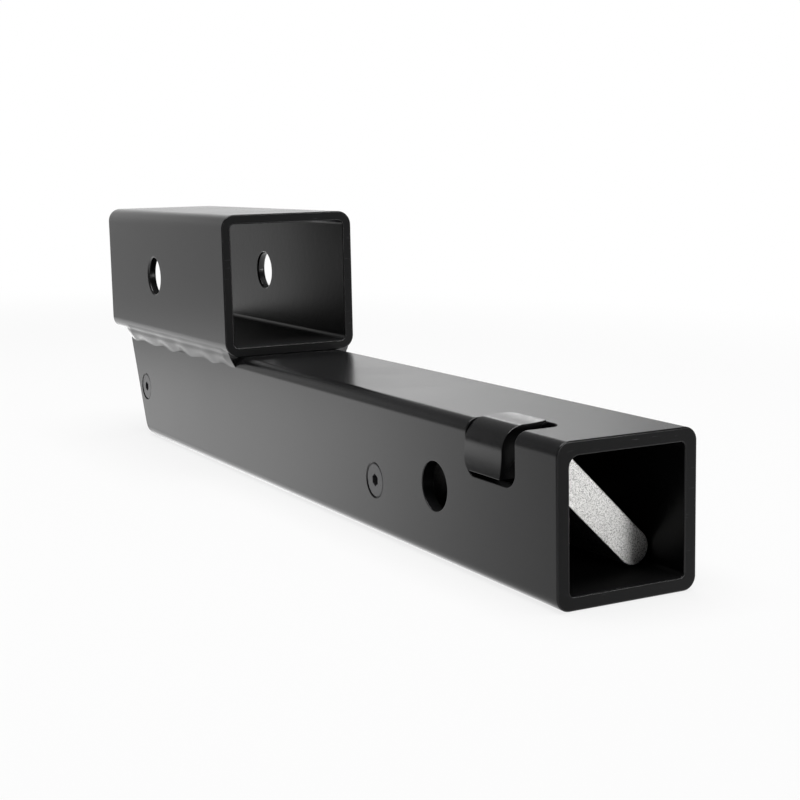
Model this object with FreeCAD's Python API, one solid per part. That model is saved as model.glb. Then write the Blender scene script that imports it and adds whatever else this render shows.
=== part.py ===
"""Hitch receiver extender with a raised receiver and a corner cam that stops it rattling.

Millimetres. +X runs along the shank from its mouth to the raised receiver, +Y to the left, +Z up.
The origin is the middle of the shank's hitch-pin hole, on the shank's centre line.
Lengths named *_AT are distances from the shank's mouth along +X.
"""
import FreeCAD, Part
import math
import os

from FreeCAD import Base

V = Base.Vector

# Driving sizes
PIN_AT = 72.0               # hitch-pin hole of the shank
PIN_HOLE_R = 8.35           # for a 5/8 in (15.9 mm) hitch pin
EDGE_C = 0.5                # broken edges of the cut tubes and holes

SHANK_W = 50.8              # 2 in square tube
SHANK_WALL = 4.5
SHANK_R_OUT = 4.5
SHANK_R_IN = 1.5
SHANK_TOP_END_AT = 383.6    # slanted far end, at the top wall
SHANK_SLANT = 21.1          # the bottom wall ends this much nearer the mouth
SHANK_END_R = 12.0          # rounded lower corner of the slanted end

RECV_W = 60.0
RECV_WALL = 4.0
RECV_R_OUT = 6.0
RECV_R_IN = 2.0
RECV_NEAR_AT = 242.0
RECV_FAR_AT = 396.0
RECV_PIN_AT = 330.0

WINDOW_NEAR_AT = 22.5       # corner window for the cam shoe
WINDOW_OPEN = 6.5           # clear opening left in front of the shoe
WINDOW_REACH = 7.6          # the window ends this far from the shank's centre planes
WINDOW_R = 5.0
WINDOW_BITE = 0.8           # the window's cutters go this far past the wall

RAMP_DEG = 12.0             # slope of the wedge
WEDGE_TRAVEL = 10.0         # back from the tightened place
WEDGE_NEAR_AT = 17.0
WEDGE_LEN = 40.0
WEDGE_T = 11.5
WEDGE_LOW_GAP = 0.65        # round end of the wedge to the tube's two walls
WEDGE_TOP_GAP = 1.0         # top end of the ramp to the tube's two walls
BORE_IN = 5.0               # the bolt's bore stops this far from the wedge's near face
BORE_SPARE = 3.0            # bore left in front of the bolt's tip

SHOE_LEN = 22.0
SHOE_PROUD = 1.0
SHOE_R = 9.5
SHOE_LIP = 1.8              # the flanks end this far below the outer faces
SHOE_FLANK_IN = 12.2        # and this far from the centre planes
SHOE_PLAN_R = 5.0           # far corners, to follow the window's rounded ends
SHOE_CHEEK_HALF = 9.5
SHOE_CHEEK_LEN = 5.5
SHOE_EDGE_R = 1.0
SHOE_END_GAP = 0.2          # far end of the shoe to the window's end
SHOE_NECK_GAP = 0.5         # neck to the window's edges with the shoe drawn in
SHOE_WALL_GAP = 0.6         # neck's foot to the inner faces of the walls
SHOE_CHEEK_GAP = 2.16       # shoulders to the same faces

SLIDE_GAP = 0.05            # faces that slide on each other
GROOVE_GAP = 0.2            # each side of the wedge in the shoe's groove

BOLT_R = 4.0                # M8
BOLT_HEAD_R = 6.5
BOLT_HEAD_H = 8.0
BOLT_HEAD_C = 0.6
BOLT_HEX_AF = 6.0
BOLT_HEX_DEPTH = 4.0
TURN_GAP = 0.3              # radial room around the turning bolt

WASHER_R = 7.0
WASHER_T = 1.6
WASHER_GAP = 0.3            # washer to the tube's walls
WASHER_ROOM = 0.4           # washer to the end block's step
CLIP_T = 1.2
CLIP_R = 6.6
CLIP_MOUTH = 4.4
CLIP_GAP = 0.1              # clip to the end block
GROOVE_R = 3.3
GROOVE_SPARE = 0.05         # groove wider than the clip, each side

SCREW_NEAR_AT = 115.4
SCREW_NEAR_LIFT = 0.8       # guide screws above the bolt's bore
SCREW_FAR_IN = 0.5          # nearer the mouth than the bottom wall's end
SCREW_FAR_LIFT = 2.2        # end screws above the end block's step
SCREW_R = 3.0               # M6 flat-head socket screw
SCREW_HEAD_R = 6.4
SCREW_SUNK = 0.2            # head top below the tube's face
SCREW_LEN = 16.0
SCREW_HEX_AF = 4.0
SCREW_HEX_DEPTH = 2.3
SCREW_GAP = 0.3             # radial room of the stem in the tube's wall
TAP_SPARE = 1.5             # tapped hole deeper than the screw

BLOCK_GAP = 0.2             # blocks inside the tube, each side
BLOCK_CHAMFER = 1.8
GUIDE_LEN = 12.8
GUIDE_COVER = 4.0           # metal above the guide screws
END_SEAT_IN = 11.0          # the bolt's washer sits this far inside the bottom wall's end
END_FOOT = 10.5             # length of the end block under its step
END_COVER = 7.0             # metal above the end screws
END_INSET = 2.2             # inside the tube's slanted end

BEAD_LEG = 4.8              # side beads, down the shank's side
BEAD_UP_DEG = 77.5          # and up round the receiver's corner
BEAD_BITE = 0.2             # beads are drawn this far into the metal, then cut flush
BEAD_WAVE = 0.75            # scallop of the lower edge
BEAD_PITCH = 26.5
BEAD_PHASE = 3.2            # the first scallop hangs low at the near end
BEAD_STEP = 3.3
BEAD_SWELL = 0.3            # crown of the bead over the straight line between its toes
BEAD_NEAR_IN = 1.5          # inside the receiver's near end
BEAD_FAR_IN = 1.6           # inside the shank's top end
BEAD_TIP = 0.35             # share of the swell left at the bead's ends
FAR_BEAD_LEG = 5.0
FAR_BEAD_CROWN = 0.9
PAST = 1.0                  # cutters run this far past what they cut

# Derived sizes
ROOT2 = math.sqrt(2.0)
HALF = SHANK_W / 2.0
INNER = HALF - SHANK_WALL
RECV_HALF = RECV_W / 2.0
RECV_Z = HALF + RECV_HALF
SHANK_LOW_END_AT = SHANK_TOP_END_AT - SHANK_SLANT
END_SLOPE = SHANK_SLANT / SHANK_W
RAMP = math.tan(math.radians(RAMP_DEG))
SHOE_TRAVEL = WEDGE_TRAVEL * RAMP
SHOE_NEAR_AT = WINDOW_NEAR_AT + WINDOW_OPEN
SHOE_FAR_AT = SHOE_NEAR_AT + SHOE_LEN
SHOE_FACE = HALF + SHOE_PROUD
SHOE_NECK_IN = WINDOW_REACH + SHOE_TRAVEL / ROOT2 + SHOE_NECK_GAP
SHOE_SHOULDER_S = (INNER - SHOE_CHEEK_GAP) * ROOT2 - SHOE_CHEEK_HALF
WINDOW_FAR_AT = SHOE_FAR_AT + SHOE_END_GAP
RAMP_NEAR_S = (INNER - WEDGE_TOP_GAP) * ROOT2 - WEDGE_T / 2.0
WEDGE_FAR_AT = WEDGE_NEAR_AT + WEDGE_LEN
WEDGE_ROUND_S = -(INNER - WEDGE_LOW_GAP - WEDGE_T / 2.0) * ROOT2
BOLT_OFF = INNER - WASHER_R - WASHER_GAP
BOLT_TIP_AT = WEDGE_NEAR_AT + BORE_IN + BORE_SPARE
BLOCK_HALF = INNER - BLOCK_GAP
SCREW_NEAR_Z = BOLT_R + TURN_GAP - BOLT_OFF + SCREW_NEAR_LIFT + SCREW_R
GUIDE_TOP_Z = SCREW_NEAR_Z + SCREW_R + GUIDE_COVER
SCREW_FAR_AT = SHANK_LOW_END_AT - SCREW_FAR_IN
END_SEAT_AT = SHANK_LOW_END_AT - END_SEAT_IN
END_BLOCK_NEAR_AT = END_SEAT_AT - END_FOOT
END_STEP_Z = WASHER_R + WASHER_ROOM - BOLT_OFF
SCREW_FAR_Z = END_STEP_Z + SCREW_FAR_LIFT + SCREW_R
END_TOP_Z = SCREW_FAR_Z + SCREW_R + END_COVER
BEAD_NEAR_AT = RECV_NEAR_AT + BEAD_NEAR_IN
BEAD_FAR_AT = SHANK_TOP_END_AT - BEAD_FAR_IN


def at(distance):
    """X of a point the given distance from the shank's mouth."""
    return distance - PIN_AT


def ramp_s(distance):
    """Height of the wedge's ramp, from the centre line towards the window corner."""
    return RAMP_NEAR_S - (distance - WEDGE_NEAR_AT) * RAMP


def tube_end_at(z):
    """Distance of the shank's slanted end from its mouth, at height z."""
    return SHANK_LOW_END_AT + (z + HALF) * END_SLOPE


def rounded_square(x, half, radius, z_mid):
    """Closed rounded-square face in the YZ plane at x."""
    k = half - radius
    edges = []
    for i in range(4):
        a = math.radians(90.0 * i)
        ca = math.cos(a)
        sa = math.sin(a)

        def turn(y, z):
            return V(x, y * ca - z * sa, y * sa + z * ca + z_mid)

        edges.append(Part.makeLine(turn(half, -k), turn(half, k)))
        m = radius * math.sqrt(0.5)
        edges.append(Part.Arc(turn(half, k), turn(k + m, k + m), turn(k, half)).toShape())
    return Part.Face(Part.Wire(edges))


def square_bar(x0, x1, half, radius, z_mid=0.0):
    """Rounded square bar from x0 to x1."""
    return rounded_square(x0, half, radius, z_mid).extrude(V(x1 - x0, 0, 0))


def prism(points, direction):
    """Solid from a closed polygon pushed along a direction."""
    wire = Part.makePolygon([V(*p) for p in points] + [V(*points[0])])
    return Part.Face(wire).extrude(V(*direction))


def cyl_x(x0, x1, r, y, z):
    return Part.makeCylinder(r, x1 - x0, V(x0, y, z), V(1, 0, 0))


def cyl_y(x, z, r, y0, y1):
    return Part.makeCylinder(r, y1 - y0, V(x, y0, z), V(0, 1, 0))


def hexagon(axis_point, across_flats, depth, inward):
    """Hexagonal prism that starts at axis_point and runs along inward."""
    r = across_flats / math.sqrt(3.0)
    pts = []
    for i in range(6):
        a = math.radians(60.0 * i)
        if abs(inward[0]) > 0.5:
            pts.append((axis_point[0], axis_point[1] + r * math.cos(a), axis_point[2] + r * math.sin(a)))
        else:
            pts.append((axis_point[0] + r * math.sin(a), axis_point[1], axis_point[2] + r * math.cos(a)))
    return prism(pts, tuple(c * depth for c in inward))


def fillet_where(shape, radius, keep):
    """Round every edge whose middle point passes the test keep."""
    chosen = []
    for edge in shape.Edges:
        if keep(edge, edge.valueAt((edge.FirstParameter + edge.LastParameter) / 2.0)):
            chosen.append(edge)
    return shape.makeFillet(radius, chosen)


def chamfer_where(shape, size, keep):
    """Bevel every edge whose middle point passes the test keep."""
    chosen = []
    for edge in shape.Edges:
        if keep(edge, edge.valueAt((edge.FirstParameter + edge.LastParameter) / 2.0)):
            chosen.append(edge)
    return shape.makeChamfer(size, chosen)


def outline(width, wall, r_out, r_in, x0, x1, z_mid):
    """Hollow square tube."""
    outer = square_bar(x0, x1, width / 2.0, r_out, z_mid)
    inner = square_bar(x0 - PAST, x1 + PAST, width / 2.0 - wall, r_in, z_mid)
    return outer.cut(inner)


def slanted_keep():
    """Block that keeps the shank up to its slanted, rounded far end."""
    low = at(SHANK_LOW_END_AT)
    top_z = HALF + PAST
    pts = [(at(-PAST), -SHANK_W, -HALF), (low, -SHANK_W, -HALF),
           (at(tube_end_at(top_z)), -SHANK_W, top_z), (at(-PAST), -SHANK_W, top_z)]
    block = prism(pts, (0, 2.0 * SHANK_W, 0))
    return fillet_where(block, SHANK_END_R,
                        lambda e, m: abs(m.x - low) < 0.1 and abs(m.z + HALF) < 0.1 and abs(m.y) < 0.1)


def window_tools():
    """Two cutters that open the upper-left corner of the shank for the cam shoe."""
    length = WINDOW_FAR_AT - WINDOW_NEAR_AT
    x0 = at(WINDOW_NEAR_AT)
    low = INNER - WINDOW_BITE
    depth = HALF + PAST - low
    reach = HALF + PAST - WINDOW_REACH

    def rounded(box, low_axis):
        return fillet_where(box, WINDOW_R, lambda e, m: abs(getattr(m, low_axis) - WINDOW_REACH) < 0.01
                            and (abs(m.x - x0) < 0.01 or abs(m.x - x0 - length) < 0.01))

    side = Part.makeBox(length, depth, reach, V(x0, low, WINDOW_REACH))
    top = Part.makeBox(length, reach, depth, V(x0, WINDOW_REACH, low))
    return rounded(side, "z").fuse(rounded(top, "y"))


def screw_places():
    """Centre of each block screw: side (+1 left), distance from the mouth, height."""
    return {
        "guide_screw_left": (1, SCREW_NEAR_AT, SCREW_NEAR_Z),
        "guide_screw_right": (-1, SCREW_NEAR_AT, SCREW_NEAR_Z),
        "end_screw_left": (1, SCREW_FAR_AT, SCREW_FAR_Z),
        "end_screw_right": (-1, SCREW_FAR_AT, SCREW_FAR_Z),
    }


def countersink(side, distance, z):
    """Clearance hole and 90 degree countersink in one side wall."""
    r_hole = SCREW_R + SCREW_GAP
    r_start = SCREW_HEAD_R + SCREW_SUNK + PAST
    start = V(at(distance), side * (HALF + PAST), z)
    inward = V(0, -side, 0)
    hole = Part.makeCylinder(r_hole, SHANK_WALL + 2.0 * PAST, start, inward)
    return hole.fuse(Part.makeCone(r_start, r_hole, r_start - r_hole, start, inward))


def hole_rim(x, z, half):
    """Test for the outer rims of a cross pin hole."""
    return lambda e, m: abs(abs(m.y) - half) < 0.01 and abs(math.hypot(m.x - x, m.z - z) - PIN_HOLE_R) < 0.01


def shank_tube():
    uncut_end = at(SHANK_TOP_END_AT + SHANK_SLANT)
    tube = outline(SHANK_W, SHANK_WALL, SHANK_R_OUT, SHANK_R_IN, at(0.0), uncut_end, 0.0)
    tube = tube.common(slanted_keep())
    tube = chamfer_where(tube, EDGE_C, lambda e, m: abs(m.x - at(0.0)) < 0.01)
    tube = tube.cut(window_tools())
    tube = tube.cut(cyl_y(0.0, 0.0, PIN_HOLE_R, -SHANK_W, SHANK_W))
    tube = chamfer_where(tube, EDGE_C, hole_rim(0.0, 0.0, HALF))
    for side, distance, z in screw_places().values():
        tube = tube.cut(countersink(side, distance, z))
    return tube


def receiver_tube():
    x0 = at(RECV_NEAR_AT)
    x1 = at(RECV_FAR_AT)
    tube = outline(RECV_W, RECV_WALL, RECV_R_OUT, RECV_R_IN, x0, x1, RECV_Z)
    tube = chamfer_where(tube, EDGE_C, lambda e, m: abs(m.x - x0) < 0.01 or abs(m.x - x1) < 0.01)
    pin_x = at(RECV_PIN_AT)
    tube = tube.cut(cyl_y(pin_x, RECV_Z, PIN_HOLE_R, -RECV_W, RECV_W))
    return chamfer_where(tube, EDGE_C, hole_rim(pin_x, RECV_Z, RECV_HALF))


def bead_section(x, toe_z, swell, side):
    """One cross-section of a side bead, running on into both tubes."""
    up = math.radians(BEAD_UP_DEG)
    top_y = RECV_HALF - RECV_R_OUT * (1.0 - math.sin(up)) - BEAD_BITE
    top_z = HALF + RECV_R_OUT * (1.0 - math.cos(up))
    toe_y = HALF - BEAD_BITE
    mid_y = (top_y + toe_y) / 2.0 + swell
    mid_z = (top_z + toe_z) / 2.0 - swell
    root_y = HALF - SHANK_R_OUT - SHANK_R_IN
    crown = Part.Arc(V(x, side * toe_y, toe_z), V(x, side * mid_y, mid_z), V(x, side * top_y, top_z))
    back = [(top_y, top_z), (RECV_HALF - RECV_R_OUT, HALF + RECV_WALL * 0.75),
            (root_y, HALF + RECV_WALL * 0.25), (root_y, HALF - SHANK_WALL * 0.35),
            (HALF - SHANK_WALL * 0.5, toe_z + BEAD_BITE), (toe_y, toe_z)]
    rest = Part.makePolygon([V(x, side * y, z) for y, z in back])
    return Part.Wire([crown.toShape()] + rest.Edges)


def side_bead(side):
    """Scalloped fillet weld between the shank's side and the receiver's overhang."""
    sections = []
    x0 = at(BEAD_NEAR_AT)
    length = BEAD_FAR_AT - BEAD_NEAR_AT
    count = int(round(length / BEAD_STEP))
    for i in range(count + 1):
        run = length * i / count
        wave = math.cos(2.0 * math.pi * run / BEAD_PITCH + BEAD_PHASE) * BEAD_WAVE
        size = min(1.0, BEAD_TIP + min(run, length - run) / (2.0 * BEAD_LEG))
        toe_z = HALF - BEAD_LEG + wave + (1.0 - size)
        sections.append(bead_section(x0 + run, toe_z, BEAD_SWELL * size, side))
    bead = Part.makeLoft(sections, True, True)
    bead = bead.cut(square_bar(x0 - PAST, x0 + length + PAST, HALF, SHANK_R_OUT))
    return bead.cut(square_bar(x0 - PAST, x0 + length + PAST, RECV_HALF, RECV_R_OUT, RECV_Z))


def far_bead(shank_solid, receiver_solid):
    """Fillet weld across the shank's slanted end, under the receiver's overhang."""
    z_low = HALF - FAR_BEAD_LEG
    top_x = at(SHANK_TOP_END_AT)
    low_x = at(tube_end_at(z_low))
    width = 2.0 * (HALF - SHANK_R_OUT)
    y = -width / 2.0
    pts = [(top_x - SHANK_WALL / 2.0, y, HALF + PAST), (low_x - SHANK_WALL / 2.0, y, z_low), (low_x, y, z_low),
           (top_x + FAR_BEAD_CROWN, y, HALF - FAR_BEAD_LEG / 2.0), (top_x + FAR_BEAD_LEG, y, HALF),
           (top_x + FAR_BEAD_LEG, y, HALF + PAST)]
    bead = prism(pts, (0, width, 0)).cut(shank_solid).cut(receiver_solid)
    return bead.cut(square_bar(low_x - SHANK_W, top_x + SHANK_W, INNER, SHANK_R_IN))


def to_diagonal(shape):
    """Turn a shape built upright so that its +Z points at the window corner."""
    turned = shape.copy()
    turned.rotate(V(0, 0, 0), V(1, 0, 0), -45.0)
    return turned


def ramp_wedge():
    """Bar across the tube's diagonal, round at its low end, ramped at the other."""
    x0 = at(WEDGE_NEAR_AT)
    x1 = at(WEDGE_FAR_AT)
    half = WEDGE_T / 2.0
    pts = [(x0, -half, WEDGE_ROUND_S), (x1, -half, WEDGE_ROUND_S), (x1, -half, ramp_s(WEDGE_FAR_AT)),
           (x0, -half, ramp_s(WEDGE_NEAR_AT))]
    bar = prism(pts, (0, WEDGE_T, 0)).fuse(cyl_x(x0, x1, half, 0.0, WEDGE_ROUND_S)).removeSplitter()
    bar = bar.cut(cyl_x(x0 + BORE_IN, x1 + PAST, BOLT_R + TURN_GAP, 0.0, -BOLT_OFF * ROOT2))
    return to_diagonal(bar)


def diagonal(y, z):
    """Point of the shoe's outline as (across the diagonal, towards the corner)."""
    return ((y - z) / ROOT2, (y + z) / ROOT2)


def shoe_corner_cut():
    """Cutters that round the shoe's two far corners where they pass the wall."""
    r = SHOE_PLAN_R
    x = at(SHOE_FAR_AT) - r
    foot = INNER - SHOE_WALL_GAP
    mid = SHOE_NECK_IN + r
    low = SHOE_NECK_IN - PAST
    deep = HALF - foot + r
    side = Part.makeBox(r + PAST, deep, r + PAST, V(x, foot, low))
    side = side.cut(cyl_y(x, mid, r, foot - PAST, foot + deep + PAST))
    top = Part.makeBox(r + PAST, r + PAST, deep, V(x, low, foot))
    top = top.cut(Part.makeCylinder(r, deep + 2.0 * PAST, V(x, mid, foot - PAST), V(0, 0, 1)))
    return [side, top]


def cam_shoe():
    """Corner-hugging shoe with a groove that straddles the wedge."""
    x0 = at(SHOE_NEAR_AT)
    x1 = at(SHOE_FAR_AT)
    centre_s = (SHOE_FACE - SHOE_R) * ROOT2
    arc_t = SHOE_R / ROOT2
    flank = diagonal(SHOE_FACE, SHOE_FLANK_IN)
    right = [(SHOE_CHEEK_HALF, SHOE_SHOULDER_S - SHOE_CHEEK_LEN), (SHOE_CHEEK_HALF, SHOE_SHOULDER_S),
             diagonal(INNER - SHOE_WALL_GAP, SHOE_NECK_IN), diagonal(SHOE_FACE - SHOE_LIP, SHOE_NECK_IN),
             flank, (arc_t, centre_s + arc_t)]
    start = [V(x0, t, s) for t, s in right]
    left = [V(x0, -t, s) for t, s in reversed(right)]
    arc = Part.Arc(start[-1], V(x0, 0, centre_s + SHOE_R), left[0]).toShape()
    edges = Part.makePolygon(start).Edges + [arc] + Part.makePolygon(left + [start[0]]).Edges
    body = Part.Face(Part.Wire(edges)).extrude(V(x1 - x0, 0, 0))
    half = WEDGE_T / 2.0 + GROOVE_GAP
    near = SHOE_NEAR_AT - PAST
    far = SHOE_FAR_AT + PAST
    pts = [(at(near), -half, 0.0), (at(far), -half, 0.0), (at(far), -half, ramp_s(far) + SLIDE_GAP),
           (at(near), -half, ramp_s(near) + SLIDE_GAP)]
    body = body.cut(prism(pts, (0, 2.0 * half, 0)))
    body = fillet_where(body, SHOE_EDGE_R, lambda e, m: m.z > flank[1] + SHOE_EDGE_R / 2.0
                        and (abs(m.x - x0) < 0.01 or abs(m.x - x1) < 0.01))
    body = to_diagonal(body)
    for tool in shoe_corner_cut():
        body = body.cut(tool)
    return body


def clip_x():
    """X of the clip's near face."""
    return at(END_BLOCK_NEAR_AT - CLIP_T - CLIP_GAP)


def draw_bolt():
    """Long M8 socket-head bolt with a clip groove."""
    y = -BOLT_OFF
    seat = at(END_SEAT_AT + WASHER_T)
    top = seat + BOLT_HEAD_H
    head = cyl_x(seat, top, BOLT_HEAD_R, y, y)
    head = chamfer_where(head, BOLT_HEAD_C, lambda e, m: e.Closed and abs(m.x - top) < 0.01)
    head = head.cut(hexagon((top, y, y), BOLT_HEX_AF, BOLT_HEX_DEPTH, (-1, 0, 0)))
    bolt = cyl_x(at(BOLT_TIP_AT), seat, BOLT_R, y, y).fuse(head).removeSplitter()
    x0 = clip_x() - GROOVE_SPARE
    x1 = clip_x() + CLIP_T + GROOVE_SPARE
    ring = cyl_x(x0, x1, BOLT_R + PAST, y, y).cut(cyl_x(x0 - PAST, x1 + PAST, GROOVE_R, y, y))
    return bolt.cut(ring)


def bolt_clip():
    """Open retaining ring that keeps the bolt in the end block."""
    y = -BOLT_OFF
    x0 = clip_x()
    ring = cyl_x(x0, x0 + CLIP_T, CLIP_R, y, y).cut(cyl_x(x0 - PAST, x0 + CLIP_T + PAST, GROOVE_R, y, y))
    mouth = Part.makeBox(CLIP_T + 2.0 * PAST, CLIP_MOUTH, CLIP_R + PAST, V(x0 - PAST, y - CLIP_MOUTH / 2.0, y))
    return ring.cut(mouth)


def bolt_washer():
    y = -BOLT_OFF
    x0 = at(END_SEAT_AT)
    ring = cyl_x(x0, x0 + WASHER_T, WASHER_R, y, y)
    return ring.cut(cyl_x(x0 - PAST, x0 + WASHER_T + PAST, BOLT_R + TURN_GAP, y, y))


def block_bores(block, distance, z):
    """Clearance hole for the bolt and two tapped holes for the side screws."""
    box = block.BoundBox
    block = block.cut(cyl_x(box.XMin - PAST, box.XMax + PAST, BOLT_R + TURN_GAP, -BOLT_OFF, -BOLT_OFF))
    for side in (1, -1):
        tool = Part.makeCylinder(SCREW_R, SCREW_SUNK + SCREW_LEN + TAP_SPARE, V(at(distance), side * HALF, z),
                                 V(0, -side, 0))
        block = block.cut(tool)
    return block


def lower_corner_cut(x0, x1, chamfer):
    """Two bars that take the lower long edges off a block inside the tube."""
    h = BLOCK_HALF
    tools = []
    for side in (1, -1):
        pts = [(x0, side * h, -h), (x0, side * (h - chamfer), -h), (x0, side * h, -h + chamfer)]
        tools.append(prism(pts, (x1 - x0, 0, 0)))
    return tools


def guide_block():
    x0 = at(SCREW_NEAR_AT - GUIDE_LEN / 2.0)
    h = BLOCK_HALF
    block = Part.makeBox(GUIDE_LEN, 2.0 * h, GUIDE_TOP_Z + h, V(x0, -h, -h))
    for tool in lower_corner_cut(x0, x0 + GUIDE_LEN, BLOCK_CHAMFER):
        block = block.cut(tool)
    return block_bores(block, SCREW_NEAR_AT, SCREW_NEAR_Z)


def end_block():
    """Thrust block with a step that leaves room for the bolt's head."""
    h = BLOCK_HALF
    x0 = at(END_BLOCK_NEAR_AT)
    pts = [(x0, -h, -h), (at(END_SEAT_AT), -h, -h), (at(END_SEAT_AT), -h, END_STEP_Z),
           (at(tube_end_at(END_STEP_Z) - END_INSET), -h, END_STEP_Z),
           (at(tube_end_at(END_TOP_Z) - END_INSET), -h, END_TOP_Z), (x0, -h, END_TOP_Z)]
    block = prism(pts, (0, 2.0 * h, 0))
    for tool in lower_corner_cut(x0, at(END_SEAT_AT), BLOCK_CHAMFER):
        block = block.cut(tool)
    return block_bores(block, SCREW_FAR_AT, SCREW_FAR_Z)


def flat_screw(side, distance, z):
    """M6 flat-head socket screw, head outwards on the given side."""
    x = at(distance)
    top = HALF - SCREW_SUNK
    inward = V(0, -side, 0)
    cone_h = SCREW_HEAD_R - SCREW_R
    cone = Part.makeCone(SCREW_HEAD_R, SCREW_R, cone_h, V(x, side * top, z), inward)
    stem = Part.makeCylinder(SCREW_R, SCREW_LEN - cone_h, V(x, side * (top - cone_h), z), inward)
    screw = cone.fuse(stem).removeSplitter()
    return screw.cut(hexagon((x, side * top, z), SCREW_HEX_AF, SCREW_HEX_DEPTH, (0, -side, 0)))


def save(shape, node):
    """Write one node, refusing anything that is not whole solids."""
    solids = shape.Solids
    if not solids or not shape.isValid():
        raise ValueError(node + " is not a valid solid")
    out = solids[0] if len(solids) == 1 else Part.makeCompound(solids)
    out.exportStep("parts/" + node + ".step")
    box = out.BoundBox
    print("%-20s solids %d volume %9.1f mm3  x %.1f..%.1f y %.1f..%.1f z %.1f..%.1f" % (
        node, len(solids), out.Volume, box.XMin, box.XMax, box.YMin, box.YMax, box.ZMin, box.ZMax))


def main():
    os.makedirs("parts", exist_ok=True)
    shank = shank_tube()
    receiver = receiver_tube()
    save(shank, "shank_tube")
    save(receiver, "receiver_tube")
    save(side_bead(1), "weld_bead_left")
    save(side_bead(-1), "weld_bead_right")
    save(far_bead(shank, receiver), "weld_bead_far")
    save(ramp_wedge(), "ramp_wedge")
    save(cam_shoe(), "cam_shoe")
    save(draw_bolt(), "draw_bolt")
    save(bolt_clip(), "bolt_clip")
    save(bolt_washer(), "bolt_washer")
    save(guide_block(), "guide_block")
    save(end_block(), "end_block")
    for node, (side, distance, z) in screw_places().items():
        save(flat_screw(side, distance, z), node)


main()
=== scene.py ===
"""Studio scene for a hitch receiver extender with a corner cam.

Metres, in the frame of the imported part: +X along the shank from its open mouth to the raised
receiver, +Y to the left and +Z up. Sizes held by the classes are millimetres.
"""

import logging
from dataclasses import dataclass
from enum import Enum
from math import atan2, cos, degrees, exp, hypot, pi, radians, sin, sqrt, tan
from typing import Callable, Sequence

import bmesh
import bpy
from mathutils import Matrix, Vector, noise


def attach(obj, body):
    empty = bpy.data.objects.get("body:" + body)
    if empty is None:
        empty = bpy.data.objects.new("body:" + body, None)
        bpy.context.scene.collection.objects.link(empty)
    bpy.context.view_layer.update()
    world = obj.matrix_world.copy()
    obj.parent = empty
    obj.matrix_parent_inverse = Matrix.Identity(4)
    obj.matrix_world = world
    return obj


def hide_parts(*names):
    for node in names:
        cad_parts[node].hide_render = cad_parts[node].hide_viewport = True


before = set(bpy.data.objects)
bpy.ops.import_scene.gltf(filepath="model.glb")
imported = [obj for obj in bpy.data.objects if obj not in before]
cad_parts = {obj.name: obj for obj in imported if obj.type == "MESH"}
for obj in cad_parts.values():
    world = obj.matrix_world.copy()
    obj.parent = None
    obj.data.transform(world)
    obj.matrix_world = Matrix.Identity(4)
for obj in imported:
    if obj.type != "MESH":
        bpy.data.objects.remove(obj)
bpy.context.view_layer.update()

LOG = logging.getLogger("hitch_extender")
MM = 0.001
ROOT2 = sqrt(2.0)
X_AXIS, Y_AXIS, Z_AXIS = Vector((1.0, 0.0, 0.0)), Vector((0.0, 1.0, 0.0)), Vector((0.0, 0.0, 1.0))

SAWN, INSIDE = 1, 2  # Material indices of sawn ends and of inner faces. Outsides have 0.
CORNER_STEPS = 12  # Steps round each corner of a tube's section.
THREAD_STEPS = 6  # Rings to one turn of a thread.
THREAD_DEPTH = 0.6  # Depth of a thread as a share of its pitch.

COAT_IOR = 1.5
NOISE_FILLS = (0.3, 0.7)  # The part of 0 to 1 that a noise pattern really fills.
WHITE = (1.0, 1.0, 1.0, 1.0)

Point = tuple[float, float]
Spot = tuple[float, float, float]
Socket = bpy.types.NodeSocket
Piece = bpy.types.Object
Edge = bmesh.types.BMEdge


class Body(Enum):
    """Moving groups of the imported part."""

    FRAME = "frame"
    BOLT = "bolt"
    WEDGE = "wedge"
    SHOE = "shoe"


class Slot(Enum):
    """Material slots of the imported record."""

    COAT = "powder_coat"
    BLASTED = "blasted_steel"
    CAM = "black_cam"
    ZINC = "zinc_plate"
    BLOCK = "block_steel"
    SCREW = "black_screw"


def linear(colour: str) -> tuple[float, float, float, float]:
    """Turn an sRGB hex colour into linear light.

    Args:
        colour: Hex colour such as "#1b1b1c".

    Returns:
        Red, green, blue and alpha as Blender's sockets take them.
    """
    parts = [int(colour[i:i + 2], 16) / 255.0 for i in (1, 3, 5)]
    red, green, blue = [p / 12.92 if p <= 0.04045 else ((p + 0.055) / 1.055) ** 2.4 for p in parts]
    return red, green, blue, 1.0


def add_node(tree: bpy.types.NodeTree, kind: str, inputs: dict | None = None,
             **settings) -> bpy.types.Node:
    """Add one node with its settings and links.

    Args:
        tree: Node tree that the node goes into.
        kind: Blender's name of the node type.
        inputs: Value or output socket for each named or numbered input.
        **settings: Attributes of the node itself.

    Returns:
        The new node.
    """
    node = tree.nodes.new(kind)
    for name, value in settings.items():
        setattr(node, name, value)
    for name, value in (inputs or {}).items():
        if isinstance(value, Socket):
            tree.links.new(value, node.inputs[name])
        else:
            node.inputs[name].default_value = value
    return node


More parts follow.
